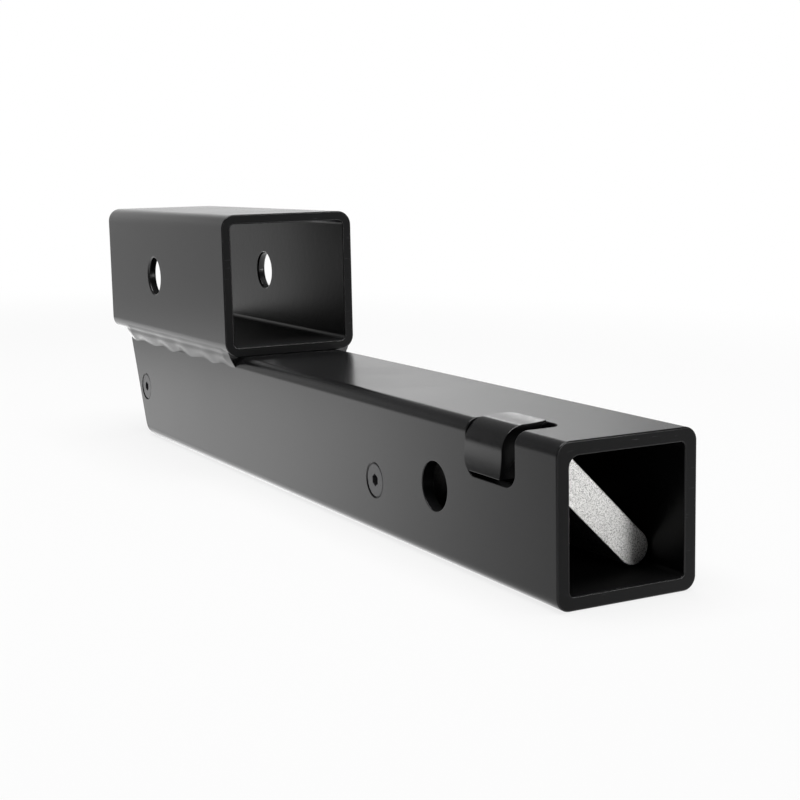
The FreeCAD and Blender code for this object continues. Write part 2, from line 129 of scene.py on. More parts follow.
class Nodes:
    """A node tree with short calls for the nodes that recur in it, each giving its output."""

    def __init__(self, tree: bpy.types.NodeTree) -> None:
        """Take over a tree and empty it."""
        tree.nodes.clear()
        self.tree = tree

    def add(self, kind: str, output: str, inputs: dict | None = None, **settings) -> Socket:
        """Add a shader node of a kind and give the output of that name."""
        return add_node(self.tree, "ShaderNode" + kind, inputs, **settings).outputs[output]

    def place(self, output: str = "Object") -> Socket:
        """Coordinates of the surface point in metres, or another output of that node."""
        return self.add("TexCoord", output)

    def mapped(self, place: Socket, **inputs) -> Socket:
        """Coordinates moved, turned or scaled."""
        return self.add("Mapping", "Vector", {"Vector": place, **inputs})

    def part(self, place: Socket, axis: str) -> Socket:
        """X, Y or Z of a vector."""
        return self.add("SeparateXYZ", axis, {"Vector": place})

    def noise(self, place: Socket, size_mm: float, detail: float, roughness: float) -> Socket:
        """Noise whose features are the given number of millimetres apart."""
        return self.add("TexNoise", "Fac", {"Vector": place, "Scale": 1.0 / (size_mm * MM),
                                            "Detail": detail, "Roughness": roughness})

    def bump(self, height: Socket, depth_mm: float, **inputs) -> Socket:
        """Normal tilted by a height pattern of the given depth."""
        return self.add("Bump", "Normal", {"Height": height, "Strength": 1.0,
                                           "Distance": depth_mm * MM, **inputs})

    def ramp(self, value: Socket, span: Point, ends: Point = (0.0, 1.0),
             soft: bool = False) -> Socket:
        """Turn a span of values into another, level outside it.

        Args:
            value: What is turned.
            span: Where the change starts and ends.
            ends: What comes out there.
            soft: Whether the change starts and ends smoothly.

        Returns:
            The new value.
        """
        return self.add("MapRange", "Result",
                        {"Value": value, "From Min": span[0], "From Max": span[1],
                         "To Min": ends[0], "To Max": ends[1]},
                        interpolation_type="SMOOTHSTEP" if soft else "LINEAR")

    def vary(self, pattern: Socket, middle: float, spread: Point) -> Socket:
        """Let a noise pattern move a value a little below and above its middle."""
        return self.ramp(pattern, NOISE_FILLS, (middle - spread[0], middle + spread[1]))

    def reckon(self, operation: str, *values: Socket | float) -> Socket:
        """Result of one sum on numbers."""
        return self.add("Math", "Value", dict(enumerate(values)), operation=operation)

    def measure(self, operation: str, *values: Socket | Spot) -> Socket:
        """Number that a sum on vectors gives."""
        return self.add("VectorMath", "Value", dict(enumerate(values)), operation=operation)

    def mix(self, share: Socket, first: Socket | Sequence[float], second: Sequence[float] | float,
            kind: str = "RGBA") -> Socket:
        """Blend of two colours or numbers."""
        return self.add("Mix", "Result", {"Factor": share, "A": first, "B": second}, data_type=kind)

    def seen_straight(self) -> Socket:
        """1 where the camera sees the surface itself, 0 where it lights or is mirrored."""
        return self.reckon("MAXIMUM", self.add("LightPath", "Is Camera Ray"),
                           self.add("LightPath", "Is Transmission Ray"))

    def show(self, surface: Socket, kind: str = "Material") -> None:
        """Lead a shader to the tree's output."""
        add_node(self.tree, "ShaderNodeOutput" + kind, {"Surface": surface})

    def shade(self, inputs: dict) -> None:
        """Finish a material with the principled shader."""
        self.show(self.add("BsdfPrincipled", "BSDF", inputs))


def new_material(name: str) -> tuple[bpy.types.Material, Nodes]:
    """Make an empty node material.

    Args:
        name: The material's name.

    Returns:
        The material and its nodes.
    """
    material = bpy.data.materials.new(name)
    material.use_nodes = True
    return material, Nodes(material.node_tree)


@dataclass(frozen=True)
class PowderCoat:
    """Semi-gloss black polyester powder, baked on shot-blasted steel.

    Nearly black by itself, so what the eye sees is its gloss, broken up by a fine orange peel.
    """

    name: str = "black_powder_coat"
    colour: str = "#111112"
    thin_colour: str = "#161617"
    roughness: float = 0.23
    uneven: Point = (0.02, 0.02)
    peel_mm: float = 1.5
    grain_mm: float = 0.45
    sweep_mm: float = 60.0
    peel_depth_mm: float = 0.01
    grain_depth_mm: float = 0.004

    def material(self) -> bpy.types.Material:
        """Build the finish.

        Returns:
            Its node material.
        """
        material, nodes = new_material(self.name)
        place = nodes.place()
        peel = nodes.noise(place, self.peel_mm, 2.0, 0.45)
        grain = nodes.noise(place, self.grain_mm, 2.0, 0.6)
        sweep = nodes.noise(place, self.sweep_mm, 3.0, 0.55)
        low = nodes.bump(peel, self.peel_depth_mm)
        high = nodes.bump(grain, self.grain_depth_mm, Normal=low)
        tone = nodes.mix(sweep, linear(self.colour), linear(self.thin_colour))
        gloss = nodes.vary(sweep, self.roughness, self.uneven)
        nodes.shade({"Base Color": tone, "Roughness": gloss, "IOR": COAT_IOR, "Normal": high})
        return material


@dataclass(frozen=True)
class SawnCoat:
    """The same powder over saw-cut tube ends, its colour darkened a little as painted shade.

    The saw's scratches show through as short streaks, and the coat is matt because it lies thin
    on them.
    """

    name: str = "black_powder_coat_on_sawn_steel_with_painted_shade"
    # A little darker than the outer coat: painted shade on the end faces.
    colour: str = "#0f0f10"
    fleck_colour: str = "#38383a"
    roughness: float = 0.62
    gloss_level: float = 0.24
    tooth_mm: float = 0.8
    streak_mm: float = 9.0
    streak_deg: float = 14.0
    depth_mm: float = 0.03
    fleck_from: float = 0.64
    fleck_edge: float = 0.08

    def material(self) -> bpy.types.Material:
        """Build the finish.

        Returns:
            Its node material.
        """
        material, nodes = new_material(self.name)
        place = nodes.place()
        drawn = nodes.mapped(place, Rotation=(radians(self.streak_deg), 0.0, 0.0),
                             Scale=(1.0, 1.0, self.streak_mm / self.tooth_mm))
        streaks = nodes.noise(drawn, self.streak_mm, 4.0, 0.6)
        pits = nodes.noise(place, self.tooth_mm, 3.0, 0.65)
        bump = nodes.bump(nodes.reckon("ADD", streaks, pits), self.depth_mm)
        fleck = nodes.ramp(streaks, (self.fleck_from, self.fleck_from + self.fleck_edge))
        tone = nodes.mix(fleck, linear(self.colour), linear(self.fleck_colour))
        nodes.shade({"Base Color": tone, "Roughness": self.roughness, "IOR": COAT_IOR,
                     "Specular IOR Level": self.gloss_level, "Normal": bump})
        return material


@dataclass(frozen=True)
class BoreCoat:
    """Powder that reached the inside of a tube: thin, dry and matt, its colour darkened as painted
    shade.

    Overspray settles on faces that look up and leaves them rougher than the walls.
    """

    name: str = "thin_powder_and_painted_shade_inside_tube"
    # Darker than the outer coat: painted shade inside the tubes.
    colour: str = "#0b0b0c"
    roughness: float = 0.3
    settled_roughness: float = 0.75
    settled_on: Point = (0.3, 0.9)
    gloss_level: float = 0.4
    spit_mm: float = 3.0
    depth_mm: float = 0.05

    def material(self) -> bpy.types.Material:
        """Build the finish.

        Returns:
            Its node material.
        """
        material, nodes = new_material(self.name)
        upward = nodes.part(nodes.place("Normal"), "Z")
        settled = nodes.ramp(upward, self.settled_on, (self.roughness, self.settled_roughness))
        bump = nodes.bump(nodes.noise(nodes.place(), self.spit_mm, 4.0, 0.6), self.depth_mm)
        nodes.shade({"Base Color": linear(self.colour), "Roughness": settled, "IOR": COAT_IOR,
                     "Specular IOR Level": self.gloss_level, "Normal": bump})
        return material


@dataclass(frozen=True)
class BareSteel:
    """Bare or plated steel, with grit marks, oxide or turning lines as its fields say.

    Metal keeps its own reflectance, so the tone comes from the colour and the sparkle from the
    bump.
    """

    name: str
    colour: str
    dark_colour: str
    roughness: float
    grit_mm: float
    depth_mm: float
    stain_mm: float = 12.0
    uneven: Point = (0.06, 0.06)
    dark_grit: Point = (0.34, 0.54)
    stretch: Spot = (1.0, 1.0, 1.0)

    def material(self) -> bpy.types.Material:
        """Build the finish.

        Returns:
            Its node material.
        """
        material, nodes = new_material(self.name)
        place = nodes.place()
        grit = nodes.noise(nodes.mapped(place, Scale=self.stretch), self.grit_mm, 3.0, 0.65)
        stain = nodes.noise(place, self.stain_mm, 4.0, 0.6)
        speck = nodes.ramp(grit, self.dark_grit)
        tone = nodes.mix(speck, linear(self.dark_colour), linear(self.colour))
        gloss = nodes.vary(stain, self.roughness, self.uneven)
        nodes.shade({"Base Color": tone, "Metallic": 1.0, "Roughness": gloss,
                     "Normal": nodes.bump(grit, self.depth_mm)})
        return material


@dataclass(frozen=True)
class SatinBlack:
    """Thin satin black coat or black oxide on a machined or forged piece.

    Smoother than the powder, so it mirrors light and dark bands along its curves.
    """

    name: str
    colour: str
    roughness: float
    rub_mm: float
    depth_mm: float
    stretch: Spot = (1.0, 1.0, 1.0)
    ior: float = COAT_IOR
    uneven: Point = (0.04, 0.05)

    def material(self) -> bpy.types.Material:
        """Build the finish.

        Returns:
            Its node material.
        """
        material, nodes = new_material(self.name)
        rub = nodes.noise(nodes.mapped(nodes.place(), Scale=self.stretch), self.rub_mm, 3.0, 0.55)
        gloss = nodes.vary(rub, self.roughness, self.uneven)
        nodes.shade({"Base Color": linear(self.colour), "Roughness": gloss, "IOR": self.ior,
                     "Normal": nodes.bump(rub, self.depth_mm)})
        return material


class Finishes:
    """The materials of the whole part, each made once."""

    def __init__(self) -> None:
        """Build every material."""
        self.coat = PowderCoat().material()
        # Sawn tube ends: matt streaked powder, its base colour darkened as painted shade.
        self.sawn = SawnCoat().material()
        # Inside the tubes: matt thin powder, its base colour darkened as painted shade.
        self.bore = BoreCoat().material()
        # The shank is longer and half closed by the cam, so less powder reached its inside.
        self.deep_bore = BoreCoat("thinner_powder_and_painted_shade_inside_shank", gloss_level=0.2).material()
        # Grit-blasted mild steel: pale grey, no grain direction, glittering specks.
        self.blasted = BareSteel("grit_blasted_steel", "#ecebe9", "#7a7977", roughness=0.42,
                                 grit_mm=0.36, depth_mm=0.05).material()
        # Bright zinc plate: clean, a little blue and fairly shiny.
        self.zinc = BareSteel("bright_zinc_plate", "#c9ccd0", "#a9acb0", roughness=0.27,
                              grit_mm=0.9, depth_mm=0.004).material()
        # Milled steel blocks with black oxide: dark, low sheen, cutter lines across.
        self.block = BareSteel("milled_oxide_steel", "#4b4a49", "#343332", roughness=0.42,
                               grit_mm=0.5, depth_mm=0.012, stretch=(0.15, 1.0, 1.0)).material()
        # Satin black on the cam shoe, rubbed lightly along its length.
        self.cam = SatinBlack("black_oxide_cam_steel", "#0b0b0c", roughness=0.17, rub_mm=0.7,
                              depth_mm=0.002, stretch=(0.25, 1.0, 1.0), ior=1.65).material()
        # The shoe's sawn ends: the same black, but dry and without the rubbed sheen.
        self.cam_end = BoreCoat("dry_black_shoe_end", gloss_level=0.12).material()
        # Black oxide alloy screws, a little duller.
        self.screw = SatinBlack("black_oxide_screw", "#3a3a3c", roughness=0.3, rub_mm=0.9,
                                depth_mm=0.016).material()


def loft(name: str, rows: Sequence[Sequence[Sequence[float]]], kinds: dict[int, int] | None = None,
         loop: bool = False) -> Piece:
    """Closed mesh through rings of points.

    Args:
        name: Name of the piece.
        rows: Rings with the same count of points.
        kinds: Material index of the band after a ring, 0 for those not named.
        loop: True to join the last ring to the first, False to cap both.

    Returns:
        The mesh in the scene, in millimetres.
    """
    bm = bmesh.new()
    rings = [[bm.verts.new(p) for p in row] for row in rows]
    for i, (first, second) in enumerate(zip(rings, rings[1:] + rings[:1] if loop else rings[1:])):
        for j in range(len(first)):
            k = (j + 1) % len(first)
            face = bm.faces.new((first[j], first[k], second[k], second[j]))
            face.material_index = (kinds or {}).get(i, 0)
    if not loop:
        bm.faces.new(rings[0])
        bm.faces.new(rings[-1])
    bmesh.ops.recalc_face_normals(bm, faces=bm.faces)
    mesh = bpy.data.meshes.new(name)
    bm.to_mesh(mesh)
    bm.free()
    piece = bpy.data.objects.new(name, mesh)
    bpy.context.scene.collection.objects.link(piece)
    return piece


def prism(name: str, outline: Sequence[Sequence[float]], push: Sequence[float]) -> Piece:
    """Closed mesh from a flat outline pushed along a vector."""
    return loft(name, [outline, [(x + push[0], y + push[1], z + push[2]) for x, y, z in outline]])


def lathe(name: str, profile: Sequence[Point], centre: Vector, along: Vector, segments: int,
          size: Callable[[float, float, float], float] | None = None) -> Piece:
    """Closed turned mesh.

    Args:
        name: Name of the piece.
        profile: Places along the axis with their radii.
        centre: Start of the axis.
        along: Direction of the axis.
        segments: Steps round it.
        size: Optional change of the radius by place, radius and angle.

    Returns:
        The mesh in the scene, in millimetres.
    """
    side = along.orthogonal().normalized()
    up = along.cross(side)
    rows = []
    for place, radius in profile:
        row = []
        for i in range(segments):
            angle = 2.0 * pi * i / segments
            r = size(place, radius, angle) if size else radius
            row.append(centre + along * place + (side * cos(angle) + up * sin(angle)) * r)
        rows.append(row)
    return loft(name, rows)


def hexagon(centre: Vector, along: Vector, across: float, depth: float) -> Piece:
    """Cutter of a hexagon socket that starts 1 mm above the face it goes into.

    Args:
        centre: Middle of the socket on that face.
        along: Direction into the face.
        across: Width across its flats.
        depth: Depth of the socket.

    Returns:
        The cutter.
    """
    up = along.cross(Z_AXIS)
    r = across / sqrt(3.0)
    turns = [radians(60.0 * i) for i in range(6)]
    outline = [centre - along + (Z_AXIS * cos(a) + up * sin(a)) * r for a in turns]
    return prism("socket", outline, along * (depth + 1.0))


def arc(cx: float, cy: float, radius: float, start: float, end: float, steps: int) -> list[Point]:
    """Points along an arc, angles in degrees."""
    angles = [radians(start + (end - start) * i / steps) for i in range(steps + 1)]
    return [(cx + radius * cos(a), cy + radius * sin(a)) for a in angles]


def quarter(steps: int) -> list[float]:
    """Angles of a quarter turn, in radians."""
    return [radians(90.0 * i / steps) for i in range(steps + 1)]


def from_diagonal(x: float, t: float, s: float) -> Spot:
    """Point from its places across and along the tube's diagonal."""
    return x, (s + t) / ROOT2, (s - t) / ROOT2


def thread_drop(place: float, angle: float, pitch: float) -> float:
    """How far a thread lies under its crest.

    Args:
        place: Place along the axis.
        angle: Angle round it, in radians.
        pitch: Length of one turn.

    Returns:
        The depth there.
    """
    turn = (place / pitch - angle / (2.0 * pi)) % 1.0
    return THREAD_DEPTH * pitch * abs(2.0 * turn - 1.0)


def carve(piece: Piece, tools: Sequence[Piece], keep: bool = False) -> None:
    """Cut tools out of a piece, or keep only what lies inside them.

    Args:
        piece: The piece to cut.
        tools: Closed meshes, which are removed afterwards.
        keep: True to keep the inside of the tools.
    """
    for tool in tools:
        cut = piece.modifiers.new("cut", "BOOLEAN")
        cut.operation = "INTERSECT" if keep else "DIFFERENCE"
        cut.solver = "EXACT"
        cut.object = tool
        bpy.context.view_layer.update()
        graph = bpy.context.evaluated_depsgraph_get()
        spent = (piece.data, tool.data)
        mesh = bpy.data.meshes.new_from_object(piece.evaluated_get(graph))
        piece.modifiers.clear()
        piece.data = mesh
        bpy.data.objects.remove(tool)
        for old in spent:
            bpy.data.meshes.remove(old)


def ease(piece: Piece, width: float, chosen: Callable[[Edge, Vector], bool],
         segments: int = 3, sharp_deg: float = 32.0) -> None:
    """Round the sharp edges that pass a test.

    Args:
        piece: Piece in millimetres.
        width: Width of the rounding.
        chosen: Test of an edge and its middle point.
        segments: Steps of the rounding.
        sharp_deg: Angle between faces from which an edge is sharp.
    """
    bm = bmesh.new()
    bm.from_mesh(piece.data)
    bmesh.ops.remove_doubles(bm, verts=bm.verts, dist=0.004)
    sharp = [e for e in bm.edges if len(e.link_faces) == 2
             and e.calc_face_angle(0.0) > radians(sharp_deg)
             and chosen(e, (e.verts[0].co + e.verts[1].co) / 2.0)]
    bmesh.ops.bevel(bm, geom=sharp, offset=width, offset_type="OFFSET", segments=segments,
                    profile=0.5, affect="EDGES", clamp_overlap=False, material=-1)
    bmesh.ops.remove_doubles(bm, verts=bm.verts, dist=0.0005)
    bm.to_mesh(piece.data)
    bm.free()


def settle(mesh: bpy.types.Mesh) -> None:
    """Sort points and faces by their places, as a cut may list some in another order each run.

    Args:
        mesh: The mesh to sort.
    """
    bm = bmesh.new()
    bm.from_mesh(mesh)
    for index, vert in enumerate(sorted(bm.verts, key=lambda vert: tuple(vert.co))):
        vert.index = index
    bm.verts.sort()
    centres = {face: tuple(face.calc_center_median()) for face in bm.faces}
    for index, face in enumerate(sorted(bm.faces, key=lambda face: centres[face])):
        face.index = index
    bm.faces.sort()
    bm.to_mesh(mesh)
    bm.free()


def finish_piece(piece: Piece, materials: Sequence[bpy.types.Material], body: Body,
                 node: str, smooth_deg: float = 34.0) -> None:
    """Bring a piece to order and metres, smooth it, dress it and hang it on its body.

    Args:
        piece: Piece in millimetres.
        materials: Materials in the order of the mesh's indices.
        body: Moving group that carries it.
        node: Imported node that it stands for.
        smooth_deg: Angle between faces up to which they shade as one.
    """
    settle(piece.data)
    piece.data.transform(Matrix.Scale(MM, 4))
    kinds = [face.material_index for face in piece.data.polygons]
    piece.data.materials.clear()
    for material in materials:
        piece.data.materials.append(material)
    piece.data.polygons.foreach_set("material_index", kinds)
    piece.data.shade_smooth()
    piece.data.set_sharp_from_angle(angle=radians(smooth_deg))
    normals = piece.modifiers.new("face normals", "WEIGHTED_NORMAL")
    normals.keep_sharp = True
    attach(piece, body.value)
    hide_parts(node)
    LOG.info("%s: %d faces on %s", piece.name, len(piece.data.polygons), body.value)


@dataclass
class Layout:
    """Sizes that several pieces share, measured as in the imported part."""

    pin_at: float = 72.0
    half: float = 25.4
    wall: float = 4.5
    r_out: float = 4.5
    recv_half: float = 30.0
    recv_r: float = 6.0
    slant_low: float = 362.5
    slant_top: float = 383.6
    bolt_off: float = 13.6
    ramp: float = tan(radians(12.0))
    wedge_near: float = 17.0
    wedge_len: float = 40.0
    wedge_t: float = 11.5
    wedge_top_gap: float = 1.0
    washer_seat: float = 353.1
    guide_screw: Point = (115.4, -5.5)
    end_screw: Point = (362.0, -1.0)

    @property
    def inner(self) -> float:
        """Inner faces of the shank, from its centre planes."""
        return self.half - self.wall

    def at(self, distance: float) -> float:
        """X of a point this far from the shank's mouth."""
        return distance - self.pin_at

    def slant_at(self, z: float) -> float:
        """X of the slanted far end at a height."""
        share = (z + self.half) / (2.0 * self.half)
        return self.at(self.slant_low + (self.slant_top - self.slant_low) * share)

    def ramp_s(self, distance: float) -> float:
        """Height of the wedge's ramp towards the window's corner."""
        top = (self.inner - self.wedge_top_gap) * ROOT2 - self.wedge_t / 2.0
        return top - (distance - self.wedge_near) * self.ramp


@dataclass
class HitchPinHole:
    """Cross hole with rounded rims for the hitch pin."""

    x: float
    z: float
    half: float
    wall: float
    rim: float
    inner_rim: float
    radius: float = 8.35
    over: float = 2.0

    def tool(self) -> Piece:
        """Cutter that opens both walls and rounds their outer and inner rims.

        Returns:
            The cutter.
        """
        profile = [(-self.half - self.over, self.radius + self.rim)]
        profile += [(-(self.half - self.rim + self.rim * sin(a)),
                     self.radius + self.rim * (1.0 - cos(a))) for a in reversed(quarter(4))]
        profile += [(-(self.half - self.wall + self.inner_rim * (1.0 - sin(a))),
                     self.radius + self.inner_rim * (1.0 - cos(a))) for a in quarter(3)]
        profile.append((-(self.half - self.wall - self.over), self.radius + self.inner_rim))
        profile += [(-place, radius) for place, radius in reversed(profile)]
        return lathe("pin_hole_tool", profile, Vector((self.x, 0.0, self.z)), Y_AXIS, 72)

    def mark(self, piece: Piece) -> None:
        """Give the wall of the hole the inside's material.

        Args:
            piece: The piece it was cut from.
        """
        for face in piece.data.polygons:
            away = hypot(face.center.x - self.x, face.center.z - self.z)
            if away < self.radius + 0.05 and abs(face.normal.y) < 0.1:
                face.material_index = INSIDE


@dataclass
class SquareTube:
    """Sawn length of square tube with eased ends."""

    name: str
    x0: float
    x1: float
    half: float
    wall: float
    r_out: float
    r_in: float
    cam_corner_r: float
    z_mid: float = 0.0
    ease_out: float = 0.5
    ease_in: float = 0.4

    def ring(self, x: float, half: float, radius: float, first: float) -> list[Spot]:
        """Rounded square across the tube.

        Args:
            x: Its plane.
            half: Half its width.
            radius: Radius of its corners.
            first: Radius of the corner towards +Y +Z.

        Returns:
            Its points, starting towards +Y.
        """
        points = []
        for i, (sy, sz) in enumerate(((1, 1), (-1, 1), (-1, -1), (1, -1))):
            r = radius if i else first
            points += arc(sy * (half - r), sz * (half - r) + self.z_mid, r, 90.0 * i,
                          90.0 * (i + 1), CORNER_STEPS)
        return [(x, y, z) for y, z in points]

    def end_rings(self, x: float, inward: float) -> list[list[Spot]]:
        """Rings round one end, from the outer face over the rim to the inner face.

        Args:
            x: Plane of the end.
            inward: 1 where the tube runs towards +X from here, -1 otherwise.

        Returns:
            Four rings outside and four inside.
        """
        inner = self.half - self.wall
        rings = []
        for a in quarter(3):
            drop = self.ease_out * (1.0 - cos(a))
            r = self.r_out - drop
            rings.append(self.ring(x + inward * self.ease_out * (1.0 - sin(a)),
                                   self.half - drop, r, r))
        for a in reversed(quarter(3)):
            grow = self.ease_in * (1.0 - cos(a))
            rings.append(self.ring(x + inward * self.ease_in * (1.0 - sin(a)), inner + grow,
                                   self.r_in + grow, self.cam_corner_r + grow))
        return rings

    def build(self) -> Piece:
        """Make the tube, with its own material indices on the sawn rims and inside."""
        rings = self.end_rings(self.x0, 1.0) + self.end_rings(self.x1, -1.0)[::-1]
        return loft(self.name, rings, {3: SAWN, 7: INSIDE, 11: SAWN}, loop=True)


@dataclass
class Maker:
    """What everything that makes pieces works with."""

    lay: Layout
    finishes: Finishes


@dataclass
class Shank(Maker):
    """The 2 in square shank with its cam window, holes and slanted end."""

    r_in: float = 1.5
    cam_corner_r: float = 3.6
    window: Point = (22.5, 51.2)
    window_low: float = 7.6
    window_deep: float = 1.7
    window_over: float = 3.0
    window_r: float = 5.0
    end_r: float = 12.0
    edge: float = 0.35
    pin_rim: float = 0.34
    pin_inner_rim: float = 0.25
    screw_r: float = 3.3
    screw_head: float = 6.6
    spare: float = 20.0
    over: float = 2.0

    def window_tools(self) -> list[Piece]:
        """Cutters of the corner window.

        Returns:
            One for its side and one for its top.
        """
        x0, x1 = self.lay.at(self.window[0]), self.lay.at(self.window[1])
        r = self.window_r
        low = self.lay.inner - self.window_deep
        high = self.lay.half + self.window_over
        flat = [(x0, high)] + arc(x0 + r, self.window_low + r, r, 180.0, 270.0, 10)
        flat += arc(x1 - r, self.window_low + r, r, 270.0, 360.0, 10) + [(x1, high)]
        return [prism("window_side", [(x, low, z) for x, z in flat], (0.0, high - low, 0.0)),
                prism("window_top", [(x, y, low) for x, y in flat], (0.0, 0.0, high - low))]

    def end_keep(self) -> Piece:
        """Block with the slanted end and its rounded lower corner.

        Returns:
            The block, which the shank is kept inside of.
        """
        lay = self.lay
        slope = atan2(2.0 * lay.half, lay.slant_top - lay.slant_low)
        corner = Vector((lay.at(lay.slant_low), -lay.half))
        along = Vector((cos(slope), sin(slope)))
        tangent = self.end_r / tan((pi - slope) / 2.0)
        margin, wide = 6.0, 40.0
        over = lay.half + margin
        top = corner + along * ((over + lay.half) / sin(slope))
        flat = [(lay.at(-margin), over), (lay.at(-margin), -lay.half)]
        flat += arc(corner.x - tangent, corner.y + self.end_r, self.end_r, -90.0,
                    degrees(slope) - 90.0, 12)
        flat.append((top.x, over))
        return prism("end_keep", [(x, -wide, z) for x, z in flat], (0.0, 2.0 * wide, 0.0))

    def countersink(self, side: int, distance: float, z: float) -> Piece:
        """Cutter of the hole for one flat-head screw.

        Args:
            side: 1 for the left wall, -1 for the right.
            distance: Its distance from the mouth.
            z: Its height.

        Returns:
            The cutter.
        """
        profile = [(-self.over, self.screw_head + self.over),
                   (self.screw_head - self.screw_r, self.screw_r),
                   (self.lay.wall + self.over, self.screw_r)]
        top = Vector((self.lay.at(distance), side * self.lay.half, z))
        return lathe("countersink", profile, top, -side * Y_AXIS, 56)

    def on_window_rim(self, edge: Edge, middle: Vector) -> bool:
        """Tell the edges round the window on the outside of the tube.

        Args:
            edge: Any edge; not used.
            middle: Its middle.

        Returns:
            Whether it is one of them.
        """
        lay, y, z = self.lay, middle.y, middle.z
        near, far = lay.at(self.window[0]) - 0.1, lay.at(self.window[1]) + 0.1
        low, centre = self.window_low - 0.1, lay.half - lay.r_out
        on_flat = max(abs(y), abs(z)) > lay.half - 0.05
        on_corner = min(y, z) > centre and hypot(y - centre, z - centre) > lay.r_out - 0.05
        return near < middle.x < far and y > low and z > low and (on_flat or on_corner)

    def on_slanted_end(self, edge: Edge, middle: Vector) -> bool:
        """Tell the edges round the slanted end, past the start of its rounded corner.

        Args:
            edge: Any edge; not used.
            middle: Its middle.

        Returns:
            Whether it is one of them.
        """
        start = self.lay.at(self.lay.slant_low - self.end_r)
        across_start = abs(middle.z + self.lay.half) < 0.01 and middle.x < start + 1.0
        return middle.x > start and not across_start

    def build(self, screws: Sequence[tuple[int, float, float]]) -> None:
        """Make, cut and dress the shank.

        Args:
            screws: Side, distance and height of each screw.
        """
        lay, finishes = self.lay, self.finishes
        tube = SquareTube("shank", lay.at(0.0), lay.at(lay.slant_top + self.spare), lay.half,
                          lay.wall, lay.r_out, self.r_in, self.cam_corner_r).build()
        carve(tube, [self.end_keep()], keep=True)
        carve(tube, self.window_tools())
        ease(tube, self.edge, self.on_window_rim)
        ease(tube, self.edge, self.on_slanted_end)
        pin = HitchPinHole(0.0, 0.0, lay.half, lay.wall, self.pin_rim, self.pin_inner_rim)
        carve(tube, [pin.tool()])
        carve(tube, [self.countersink(*place) for place in screws])
        pin.mark(tube)
        finish_piece(tube, [finishes.coat, finishes.sawn, finishes.deep_bore], Body.FRAME,
                     "shank_tube")


@dataclass
class Receiver(Maker):
    """The raised receiver tube welded on the shank."""

    near: float = 242.0
    far: float = 396.0
    pin: float = 330.0
    wall: float = 4.0
    r_in: float = 2.0
    pin_rim: float = 1.0
    pin_inner_rim: float = 0.9

    def build(self) -> None:
        """Make, drill and dress the receiver."""
        lay, finishes = self.lay, self.finishes
        z_mid = lay.half + lay.recv_half
        tube = SquareTube("receiver", lay.at(self.near), lay.at(self.far), lay.recv_half,
                          self.wall, lay.recv_r, self.r_in, self.r_in, z_mid).build()
        pin = HitchPinHole(lay.at(self.pin), z_mid, lay.recv_half, self.wall, self.pin_rim,
                           self.pin_inner_rim)
        carve(tube, [pin.tool()])
        pin.mark(tube)
        finish_piece(tube, [finishes.coat, finishes.sawn, finishes.bore], Body.FRAME,
                     "receiver_tube")


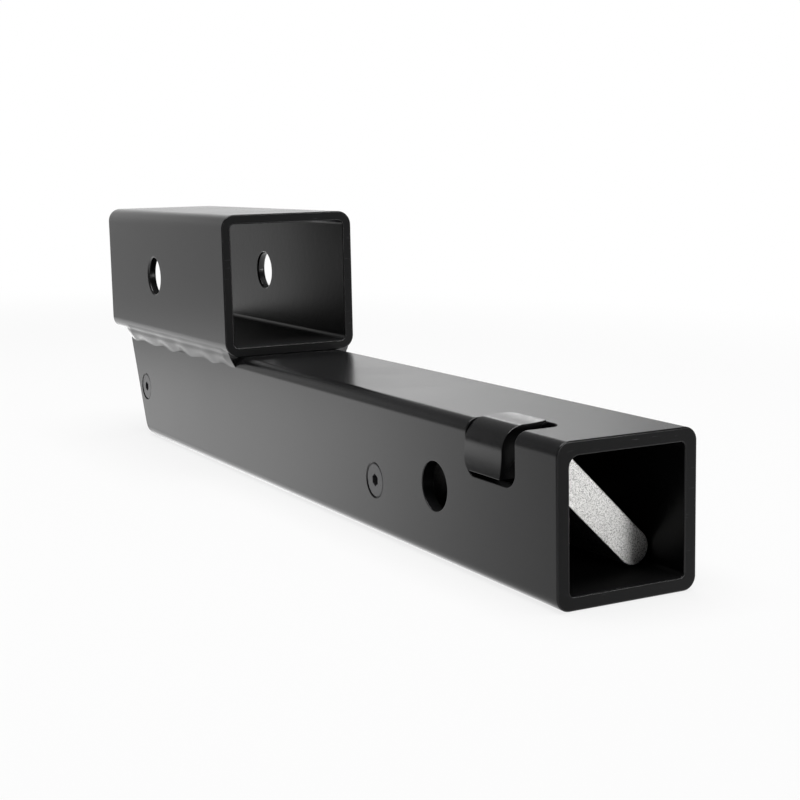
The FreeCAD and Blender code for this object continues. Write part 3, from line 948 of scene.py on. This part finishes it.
@dataclass
class WeldBeads(Maker):
    """Fillet welds between the two tubes, with the ripples of the weld pool under the coat.

    The fields that end in place are only places in the noise, which set the patterns apart.
    """

    near: float = 243.5
    far: float = 379.5
    leg: float = 4.8
    end_leg: float = 5.0
    end_hollow: float = 0.3
    taper: float = 0.35
    wave: float = 0.5
    pitch: float = 26.5
    phase: float = 3.2
    stray: float = 0.6
    swell: float = 0.3
    up_deg: float = 77.5
    bite: float = 0.2
    ripple_mm: float = 2.2
    ripple_depth: float = 0.025
    ripple_bend: float = 0.55
    ripple_shift: float = 0.35
    lump_mm: float = 12.0
    lump_depth: float = 0.05
    lump_across: float = 1.4
    lump_place: float = 3.7
    wave_place: Point = (8.1, 2.3)
    end_place: float = 9.1
    groove_depth: float = 0.45
    groove_at: float = 0.75
    groove_width: float = 0.2
    back_rise: Spot = (3.0, 1.0, -1.5)
    end_back: tuple[Point, Point] = ((1.5, 0.5), (1.5, 0.3))
    step: float = 0.4
    across: int = 18

    def ripple(self, run: float, v: float, shift: float = 0.0) -> float:
        """Height of the weld pool's crescents.

        Args:
            run: Place along the bead.
            v: Share of the way across it.
            shift: Part of a ripple by which they start later.

        Returns:
            The height there.
        """
        crest = run / self.ripple_mm + self.ripple_bend * (2.0 * v - 1.0) ** 2 + shift
        return abs(sin(pi * crest)) ** 0.6 * self.ripple_depth

    def lump(self, *place: float) -> float:
        """Height of the bead's slow unevenness at a place in its pattern."""
        return noise.noise(Vector(place)) * self.lump_depth

    def side(self, hand: str, sign: int) -> None:
        """Bead along one side of the shank.

        Args:
            hand: The side, "left" or "right".
            sign: 1 for the left side, -1 for the right.
        """
        lay = self.lay
        up = radians(self.up_deg)
        top = Vector((lay.recv_half - lay.recv_r * (1.0 - sin(up)) - self.bite,
                      lay.half + lay.recv_r * (1.0 - cos(up))))
        length = self.far - self.near
        count = int(length / self.step)
        back_y = lay.half - lay.r_out - 1.0
        back = [(y, lay.half + rise) for y, rise in
                zip((lay.recv_half - lay.recv_r, back_y, back_y), self.back_rise)]
        rows = []
        for i in range(count + 1):
            run = length * i / count
            size = min(1.0, self.taper + min(run, length - run) / (2.0 * self.leg))
            wave = cos(2.0 * pi * run / self.pitch + self.phase) * self.wave
            place = (run / self.lump_mm, self.wave_place[0], self.wave_place[1] * sign)
            wave += noise.noise(Vector(place)) * self.stray
            toe = Vector((lay.half - self.bite, lay.half - self.leg + wave + (1.0 - size)))
            chord = top - toe
            out = Vector((chord.y, -chord.x)).normalized()
            section = []
            for j in range(self.across + 1):
                v = j / self.across
                below = (1.0 - v) * chord.length / self.leg
                aside = (below - self.groove_at) / self.groove_width
                groove = self.groove_depth * exp(-aside ** 2)
                ripple = self.ripple(run, v, self.ripple_shift * sign)
                lump = self.lump(run / self.lump_mm, v * self.lump_across, self.lump_place * sign)
                rise = ROOT2 * self.swell * 2.0 - groove + ripple + lump
                section.append(toe + chord * v + out * (4.0 * v * (1.0 - v) * rise * size))
            rows.append([(lay.at(self.near + run), sign * y, z) for y, z in (*section, *back)])
        finish_piece(loft("weld_" + hand, rows), [self.finishes.coat], Body.FRAME,
                     "weld_bead_" + hand)

    def end(self) -> None:
        """Bead across the shank's slanted end, under the receiver."""
        lay = self.lay
        half = lay.half - lay.r_out
        count = int(2.0 * half / self.step)
        low = Vector((lay.slant_at(lay.half - self.end_leg), lay.half - self.end_leg))
        top = Vector((lay.at(lay.slant_top) + self.end_leg, lay.half))
        chord = top - low
        out = Vector((chord.y, -chord.x)).normalized()
        back = [(x - inside, z + rise) for (x, z), (inside, rise) in
                zip(((lay.at(lay.slant_top), lay.half), low), self.end_back)]
        rows = []
        for i in range(count + 1):
            y = -half + 2.0 * half * i / count
            section = []
            for j in range(self.across + 1):
                v = j / self.across
                lump = self.lump(y / self.lump_mm, v, self.end_place)
                rise = -self.end_hollow + self.ripple(y, v) + lump
                section.append(low + chord * v + out * (4.0 * v * (1.0 - v) * rise))
            rows.append([(x, y, z) for x, z in (*section, *back)])
        finish_piece(loft("weld_end", rows), [self.finishes.coat], Body.FRAME,
                     "weld_bead_far")


@dataclass
class CamShoe(Maker):
    """The black shoe that comes out of the corner window, grooved to straddle the wedge."""

    near: float = 29.0
    length: float = 22.0
    face: float = 25.9
    flare: float = 0.95
    crown: float = 0.55
    radius: float = 8.0
    lip: float = 0.15
    flank_top: float = 9.8
    neck: float = 9.6
    foot: float = 0.6
    shoulder: float = 2.16
    plan_r: float = 5.0
    cheek_half: float = 9.5
    cheek_len: float = 5.5
    slide_gap: float = 0.05
    groove_gap: float = 0.2
    edge: float = 0.25

    def flank(self, bulge: float) -> list[Point]:
        """Lip and flank on one side of the rounded corner.

        Args:
            bulge: How far the flank stands out at its lip.

        Returns:
            Places away from the tube's middle with their heights, from the foot up.
        """
        rise = self.flank_top - self.neck
        middle = self.face - self.radius
        points = [(self.lay.inner - self.foot, self.neck)]
        points += [(self.face + bulge - self.lip * (1.0 - sin(a)),
                    self.neck + rise * (1.0 - cos(a))) for a in quarter(6)]
        points += [(self.face + bulge * share ** 2, middle + (self.flank_top - middle) * share)
                   for share in (i / 10.0 for i in range(9, -1, -1))]
        return points

    def outline(self, distance: float) -> list[Spot]:
        """Section of the shoe across the tube.

        Args:
            distance: Its distance from the mouth.

        Returns:
            Its points.
        """
        lay = self.lay
        x = lay.at(distance)
        k = self.face - self.radius
        outer = self.flank(self.flare) + arc(k, k, self.radius, 0.0, 90.0, 18)[1:-1]
        outer += [(z, y) for y, z in reversed(self.flank(self.crown))]
        shoulder = (lay.inner - self.shoulder) * ROOT2 - self.cheek_half
        low = shoulder - self.cheek_len
        slot = lay.wedge_t / 2.0 + self.groove_gap
        roof = lay.ramp_s(distance) + self.slide_gap
        cheek = self.cheek_half
        points = [from_diagonal(x, cheek, low), from_diagonal(x, cheek, shoulder)]
        points += [(x, y, z) for y, z in outer]
        inside = ((-cheek, shoulder), (-cheek, low), (-slot, low), (-slot, roof), (slot, roof),
                  (slot, low))
        return points + [from_diagonal(x, t, s) for t, s in inside]

    def corner_tools(self) -> list[Piece]:
        """Cutters that round the shoe's far corners to the window.

        Returns:
            One for the side and one for the top.
        """
        r, over, tall = self.plan_r, 2.0, 12.0
        x = self.lay.at(self.near + self.length) - r
        mid = self.neck + r
        foot = self.lay.inner - self.foot
        flat = arc(x, mid, r, -90.0, 0.0, 12)
        flat += [(x + r + over, mid), (x + r + over, mid - r - over), (x, mid - r - over)]
        return [prism("corner_side", [(a, foot, b) for a, b in flat], (0.0, tall, 0.0)),
                prism("corner_top", [(a, b, foot) for a, b in flat], (0.0, 0.0, tall))]

    def build(self) -> None:
        """Make and dress the shoe, with a finish of its own on its ends."""
        ends = (self.near, self.near + self.length)
        piece = loft("cam_shoe_body", [self.outline(end) for end in ends])
        carve(piece, self.corner_tools())
        level = self.neck + self.lay.half
        planes = [self.lay.at(end) for end in ends]

        def on_outer_end(edge: Edge, middle: Vector) -> bool:
            """Tell the edges round an end outside the tube.

            Args:
                edge: Any edge.
                middle: Its middle.

            Returns:
                Whether it is one of them.
            """
            in_end = min(abs(middle.x - x) for x in planes) < 0.01
            return in_end and middle.y + middle.z > level and \
                abs(edge.verts[0].co.x - edge.verts[1].co.x) < 0.01

        ease(piece, self.edge, on_outer_end)
        for face in piece.data.polygons:
            if abs(face.normal.x) > 0.95:
                face.material_index = SAWN
        finish_piece(piece, [self.finishes.cam, self.finishes.cam_end], Body.SHOE,
                     "cam_shoe")


@dataclass
class CamDrive(Maker):
    """Wedge, draw bolt and the two blocks that carry it."""

    wedge_low_gap: float = 0.65
    wedge_edge: float = 0.45
    wedge_skin: float = 5.0
    bolt_r: float = 4.0
    thread_pitch: float = 1.25
    thread_len: float = 62.0
    tip: float = 25.0
    point: float = 0.8
    clip_at: float = 339.7
    clip_groove: tuple[float, float] = (0.05, 1.25)
    clip_r: float = 3.3
    head_r: float = 6.5
    head_h: float = 8.0
    head_foot: Sequence[Point] = ((0.0, 0.5), (0.5, 0.0), (0.8, 0.0), (0.9, 0.02))
    head_crown: Sequence[Point] = ((1.1, 0.02), (1.0, 0.0), (0.6, 0.0), (0.2, 0.2), (0.0, 0.6))
    knurls: float = 24.0
    knurl_depth: float = 0.14
    socket: float = 6.0
    socket_depth: float = 4.0
    turn_gap: float = 0.3
    bore_reach: float = 60.0
    block_gap: float = 0.2
    block_edge: float = 0.3
    tap_r: float = 3.0
    tap_len: float = 17.7
    guide_at: float = 109.0
    guide_len: float = 12.8
    guide_top: float = 1.5
    guide_cut: float = 1.8
    end_at: float = 341.0
    end_seat: float = 351.5
    end_step: float = -6.2
    end_top: float = 9.0
    end_back: float = 2.2
    end_cut: float = 2.8

    def on_axis(self, x: float) -> Vector:
        """Point of the bolt's axis."""
        return Vector((x, -self.lay.bolt_off, -self.lay.bolt_off))

    def bore(self, x: float, start: float = 0.0) -> Piece:
        """Cutter of the bolt's free hole from a place before or at X."""
        r = self.bolt_r + self.turn_gap
        return lathe("bore", [(start, r), (self.bore_reach, r)], self.on_axis(x), X_AXIS, 40)

    def wedge(self) -> None:
        """The blasted wedge across the tube's diagonal."""
        lay = self.lay
        half = lay.wedge_t / 2.0
        low_s = -(lay.inner - self.wedge_low_gap - half) * ROOT2
        rows = []
        for distance in (lay.wedge_near, lay.wedge_near + lay.wedge_len):
            flat = [(half, lay.ramp_s(distance)), (-half, lay.ramp_s(distance))]
            flat += arc(0.0, low_s, half, 180.0, 360.0, 24)
            rows.append([from_diagonal(lay.at(distance), t, s) for t, s in flat])
        piece = loft("wedge_bar", rows)
        carve(piece, [self.bore(lay.at(lay.wedge_near) + self.wedge_skin)])
        ease(piece, self.wedge_edge, lambda edge, middle: True)
        finish_piece(piece, [self.finishes.blasted], Body.WEDGE, "ramp_wedge")

    def bolt(self) -> None:
        """Long M8 bolt with its cut thread, clip groove and knurled socket head."""
        x0 = self.lay.at(self.tip)
        seat = self.lay.at(self.lay.washer_seat) - x0
        top = seat + self.head_h
        clip = self.lay.at(self.clip_at) - x0
        groove = (clip - self.clip_groove[0], clip + self.clip_groove[1])
        depth = THREAD_DEPTH * self.thread_pitch
        profile = [(0.0, self.bolt_r - depth - 0.2), (self.point, self.bolt_r)]
        steps = int(self.thread_len / self.thread_pitch * THREAD_STEPS)
        profile += [(self.point + self.thread_len * (i + 1) / steps, self.bolt_r)
                    for i in range(steps)]
        end = profile[-1][0]
        profile += [(end + 1.0, self.bolt_r), (groove[0], self.bolt_r), (groove[0], self.clip_r),
                    (groove[1], self.clip_r), (groove[1], self.bolt_r), (seat, self.bolt_r)]
        profile += [(seat + place, self.head_r - less) for place, less in self.head_foot]
        profile += [(top - place, self.head_r - less) for place, less in self.head_crown]
        knurled = (seat + self.head_foot[-1][0] - 0.05, top - self.head_crown[0][0] + 0.05)

        def size(place: float, radius: float, angle: float) -> float:
            """Cut the thread and knurl the head.

            Args:
                place: Place along the bolt.
                radius: Plain radius there.
                angle: Angle round it.

            Returns:
                The radius that is left.
            """
            if self.point - 0.1 < place < end - 0.01:
                return radius - thread_drop(place, angle, self.thread_pitch)
            if knurled[0] < place < knurled[1]:
                return radius - self.knurl_depth * abs(sin(angle * self.knurls))
            return radius

        piece = lathe("draw_bolt_body", profile, self.on_axis(x0), X_AXIS, 96, size)
        carve(piece, [hexagon(self.on_axis(x0 + top), -X_AXIS, self.socket, self.socket_depth)])
        finish_piece(piece, [self.finishes.zinc], Body.BOLT, "draw_bolt")

    def block_bores(self, screw: Point) -> list[Piece]:
        """Cutters for the bolt's bore and the two screw holes of a block.

        Args:
            screw: Distance from the mouth and height of its screws.

        Returns:
            The three cutters.
        """
        lay = self.lay
        x, z = lay.at(screw[0]), screw[1]
        tools = [self.bore(x, -self.bore_reach)]
        for side in (1, -1):
            tools.append(lathe("tapped", [(0.0, self.tap_r), (self.tap_len, self.tap_r)],
                               Vector((x, side * lay.half, z)), -side * Y_AXIS, 32))
        return tools

    def guide_block(self) -> None:
        """Block behind the hitch-pin hole that guides the bolt."""
        lay = self.lay
        h, c, top = lay.inner - self.block_gap, self.guide_cut, self.guide_top
        flat = [(h, top), (-h, top), (-h, c - h), (c - h, -h), (h - c, -h), (h, c - h)]
        piece = prism("guide_block_body", [(lay.at(self.guide_at), y, z) for y, z in flat],
                      (self.guide_len, 0.0, 0.0))
        carve(piece, self.block_bores(lay.guide_screw))
        ease(piece, self.block_edge,
             lambda edge, middle: abs(middle.y) < h + 0.01 and middle.z < top + 0.1, 2)
        finish_piece(piece, [self.finishes.block], Body.FRAME, "guide_block")

    def end_block(self) -> None:
        """Thrust block inside the slanted end, stepped for the bolt's head."""
        lay = self.lay
        h, step, high = lay.inner - self.block_gap, self.end_step, self.end_top
        x0, seat = lay.at(self.end_at), lay.at(self.end_seat)
        flat = [(x0, -h), (seat, -h), (seat, step), (lay.slant_at(step) - self.end_back, step),
                (lay.slant_at(high) - self.end_back, high), (x0, high)]
        piece = prism("end_block_body", [(x, -h, z) for x, z in flat], (0.0, 2.0 * h, 0.0))
        for side in (1, -1):
            corner = [(side * (h + 1.0), -h - 1.0), (side * (h - self.end_cut), -h - 1.0),
                      (side * (h + 1.0), self.end_cut - h)]
            carve(piece, [prism("corner", [(x0 - 1.0, y, z) for y, z in corner],
                                (seat - x0 + 2.0, 0.0, 0.0))])
        carve(piece, self.block_bores(lay.end_screw))
        ease(piece, self.block_edge, lambda edge, middle: True, 2)
        finish_piece(piece, [self.finishes.block], Body.FRAME, "end_block")


@dataclass
class FlatScrews(Maker):
    """Four M6 flat-head socket screws that hold the blocks."""

    head_r: float = 6.4
    head_form: Sequence[Point] = ((0.0, 0.95), (0.04, 0.7), (0.12, 0.45), (0.26, 0.32), (0.4, 0.42))
    sunk: float = 0.2
    radius: float = 3.0
    length: float = 16.0
    pitch: float = 1.0
    plain: float = 0.5
    point: float = 1.0
    socket: float = 4.0
    socket_depth: float = 2.3

    def places(self) -> dict[str, tuple[int, float, float]]:
        """Tell where the screws are.

        Returns:
            Side, distance from the mouth and height of each, by its node.
        """
        return {f"{block}_screw_{name}": (side, *place)
                for block, place in (("guide", self.lay.guide_screw), ("end", self.lay.end_screw))
                for name, side in (("left", 1), ("right", -1))}

    def build(self) -> None:
        """Make the four screws."""
        cone = self.head_r - self.radius
        profile = [(place, self.head_r - less) for place, less in self.head_form]
        profile.append((cone, self.radius))
        steps = int((self.length - cone - self.point) * THREAD_STEPS / self.pitch)
        threaded = self.length - cone - self.plain - self.point
        profile += [(cone + self.plain + threaded * i / steps, self.radius)
                    for i in range(steps + 1)]
        profile.append((self.length, self.radius - THREAD_DEPTH * self.pitch))

        def size(place: float, radius: float, angle: float) -> float:
            """Cut the thread.

            Args:
                place: Place along the screw.
                radius: Plain radius there.
                angle: Angle round it.

            Returns:
                The radius that is left.
            """
            if place < cone + self.plain - 0.1 or place > self.length - 0.1:
                return radius
            return radius - thread_drop(place, angle, self.pitch)

        for node, (side, distance, z) in self.places().items():
            top = Vector((self.lay.at(distance), side * (self.lay.half - self.sunk), z))
            inward = -side * Y_AXIS
            piece = lathe(node + "_body", profile, top, inward, 56, size)
            carve(piece, [hexagon(top, inward, self.socket, self.socket_depth)])
            finish_piece(piece, [self.finishes.screw], Body.FRAME, node)


def dress_packed_nodes(finishes: Finishes) -> None:
    """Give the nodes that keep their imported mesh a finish.

    Args:
        finishes: The part's materials.
    """
    for name in ("bolt_clip", "bolt_washer"):
        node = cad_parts[name]
        node.data.materials.clear()
        node.data.materials.append(finishes.zinc)
        LOG.info("%s: kept from the packed part", name)


@dataclass
class Studio:
    """Pale floor, soft lamps, surroundings and the camera. Patterns here are in metres."""

    camera_at: Spot = (-433.111, 266.791, 105.220)
    camera_right: Spot = (-0.47057, -0.882122, -0.020612)
    camera_down: Spot = (-0.12468, 0.0896, -0.988143)
    camera_forward: Spot = (0.873509, -0.462421, -0.152147)
    focal_px: float = 1537.389
    image_px: float = 800.0
    sensor_mm: float = 36.0
    clip: Point = (0.01, 50.0)
    floor_z: float = -25.6
    floor_half: float = 6000.0
    floor_colour: str = "#f2f2f2"
    pool_way: Spot = (0.545, -0.839, 0.0)
    pool_start: Point = (-0.095, 0.065)
    pool_light: Point = (0.53, 1.35)
    pool_x: float = 0.22
    pool_form: Spot = (1.0, 1.6, 0.0)
    pool_edge: Point = (0.15, 0.85)
    pool_far: float = 0.42
    under_y: Point = (0.0215, 0.027)
    under_x: Point = (-0.075, -0.06)
    under_light: float = 1.3
    white_share: float = 0.82
    white_edge: Point = (0.5, 1.1)
    glow_way: Spot = (0.985, -0.174, 0.0)
    glow_height: Point = (0.24, 0.42)
    glow_above: float = 0.15
    glow_wide: tuple[Point, Point] = ((0.74, 0.86), (0.0, 0.42))
    glow_core: tuple[Point, Point] = ((0.87, 0.965), (0.0, 0.58))
    room_light: float = 0.14

    def camera(self) -> None:
        """Stand the camera where the photograph was taken from."""
        data = bpy.data.cameras.new("photo_camera")
        data.sensor_width = self.sensor_mm
        data.lens = self.focal_px / self.image_px * self.sensor_mm
        data.clip_start, data.clip_end = self.clip
        camera = bpy.data.objects.new("photo_camera", data)
        right, down, forward = [Vector(way) for way in
                                (self.camera_right, self.camera_down, self.camera_forward)]
        turned = Matrix((right, -down, -forward)).transposed().to_4x4()
        camera.matrix_world = Matrix.Translation(Vector(self.camera_at) * MM) @ turned
        bpy.context.scene.collection.objects.link(camera)
        bpy.context.scene.camera = camera

    def floor_material(self) -> bpy.types.Material:
        """White table: seen as white with the part's shadow, mirrored as a pool of light.

        The pool lies behind the mouth, darker towards the camera, with a bright strip right under
        the shank.

        Returns:
            The table's node material.
        """
        material, nodes = new_material("white_table")
        place = nodes.place()
        near = nodes.ramp(nodes.measure("DOT_PRODUCT", place, self.pool_way), self.pool_start,
                          self.pool_light, soft=True)
        reach = nodes.measure("LENGTH", nodes.mapped(place, Location=(-self.pool_x, 0.0, 0.0),
                                                     Scale=self.pool_form))
        far = nodes.ramp(reach, self.pool_edge, (1.0, self.pool_far), soft=True)
        under = nodes.ramp(nodes.reckon("ABSOLUTE", nodes.part(place, "Y")), self.under_y,
                           (self.under_light, 0.0), soft=True)
        inside = nodes.ramp(nodes.part(place, "X"), self.under_x, soft=True)
        pool = nodes.reckon("MULTIPLY_ADD", under, inside, nodes.reckon("MULTIPLY", near, far))
        straight = nodes.seen_straight()
        strength = nodes.mix(straight, pool, 1.0, "FLOAT")
        share = nodes.ramp(reach, self.white_edge, (self.white_share, 1.0), soft=True)
        shown = nodes.reckon("MAXIMUM", nodes.reckon("MULTIPLY", straight, share),
                             nodes.add("LightPath", "Is Glossy Ray"))
        matt = nodes.add("BsdfDiffuse", "BSDF", {"Color": linear(self.floor_colour)})
        glow = nodes.add("Emission", "Emission", {"Color": WHITE, "Strength": strength})
        nodes.show(nodes.add("MixShader", "Shader", {"Fac": shown, 1: matt, 2: glow}))
        return material

    def floor(self) -> None:
        """Lay the table under the shank."""
        h = self.floor_half * MM
        mesh = bpy.data.meshes.new("table")
        corners = [(-h, -h, 0.0), (h, -h, 0.0), (h, h, 0.0), (-h, h, 0.0)]
        mesh.from_pydata(corners, [], [(0, 1, 2, 3)])
        table = bpy.data.objects.new("table", mesh)
        table.location.z = self.floor_z * MM
        mesh.materials.append(self.floor_material())
        bpy.context.scene.collection.objects.link(table)

    def world(self) -> None:
        """Room around the table: light low down behind the part, dark elsewhere, seen as white."""
        world = bpy.data.worlds.new("studio_room")
        world.use_nodes = True
        nodes = Nodes(world.node_tree)
        way = nodes.place("Generated")
        height = nodes.ramp(nodes.part(way, "Z"), self.glow_height, (1.0, self.glow_above),
                            soft=True)
        behind = nodes.measure("DOT_PRODUCT", way, self.glow_way)
        wide = nodes.ramp(behind, *self.glow_wide, soft=True)
        core = nodes.ramp(behind, *self.glow_core, soft=True)
        low = nodes.reckon("MULTIPLY", height, nodes.reckon("ADD", wide, core))
        room = nodes.reckon("ADD", low, self.room_light)
        light = nodes.mix(nodes.seen_straight(), room, 1.0, "FLOAT")
        back = nodes.add("Background", "Background", {"Color": WHITE, "Strength": light})
        nodes.show(back, "World")
        bpy.context.scene.world = world

    def lamp(self, name: str, aim: Spot, azimuth: float, rise: float, distance: float,
             size: Point, power: float, spread: float = 180.0) -> None:
        """Hang a soft lamp.

        Args:
            name: Name of the lamp.
            aim: What it points at, in metres.
            azimuth: Degrees round from +X towards +Y.
            rise: Degrees above the table.
            distance: Metres from what it points at.
            size: Width and height of its face, in metres.
            power: Watts.
            spread: Degrees of the beam, narrowed by a grid on the lamp.
        """
        a, e = radians(azimuth), radians(rise)
        way = Vector((cos(a) * cos(e), sin(a) * cos(e), sin(e)))
        data = bpy.data.lights.new(name, "AREA")
        data.shape = "RECTANGLE"
        data.size, data.size_y = size
        data.energy = power
        data.spread = radians(spread)
        lamp = bpy.data.objects.new(name, data)
        lamp.visible_camera = False
        lamp.location = Vector(aim) + way * distance
        lamp.rotation_mode = "QUATERNION"
        lamp.rotation_quaternion = (-way).to_track_quat("-Z", "Y")
        bpy.context.scene.collection.objects.link(lamp)

    def build(self) -> None:
        """Set up everything around the part."""
        bpy.context.scene.view_settings.view_transform = "Standard"
        self.camera()
        self.floor()
        self.world()
        mouth, middle = (-0.055, -0.004, 0.0), (0.12, 0.0, 0.0)
        self.lamp("front_lamp", mouth, azimuth=207.0, rise=3.0, distance=1.6, size=(0.5, 0.3),
                  power=0.125, spread=22.0)
        self.lamp("back_strip", mouth, azimuth=-31.0, rise=18.0, distance=1.5, size=(0.3, 0.1),
                  power=0.22)
        self.lamp("overhead_softbox", middle, azimuth=90.0, rise=88.0, distance=1.5,
                  size=(1.4, 1.4), power=25.0)


def main() -> None:
    """Build the studio and the pieces."""
    logging.basicConfig(level=logging.INFO, format="%(name)s %(message)s")
    finishes = Finishes()
    lay = Layout()
    Studio().build()
    screws = FlatScrews(lay, finishes)
    Shank(lay, finishes).build(list(screws.places().values()))
    Receiver(lay, finishes).build()
    beads = WeldBeads(lay, finishes)
    beads.side("left", 1)
    beads.side("right", -1)
    beads.end()
    CamShoe(lay, finishes).build()
    drive = CamDrive(lay, finishes)
    drive.wedge()
    drive.bolt()
    drive.guide_block()
    drive.end_block()
    screws.build()
    dress_packed_nodes(finishes)


if __name__ == "__main__":
    main()
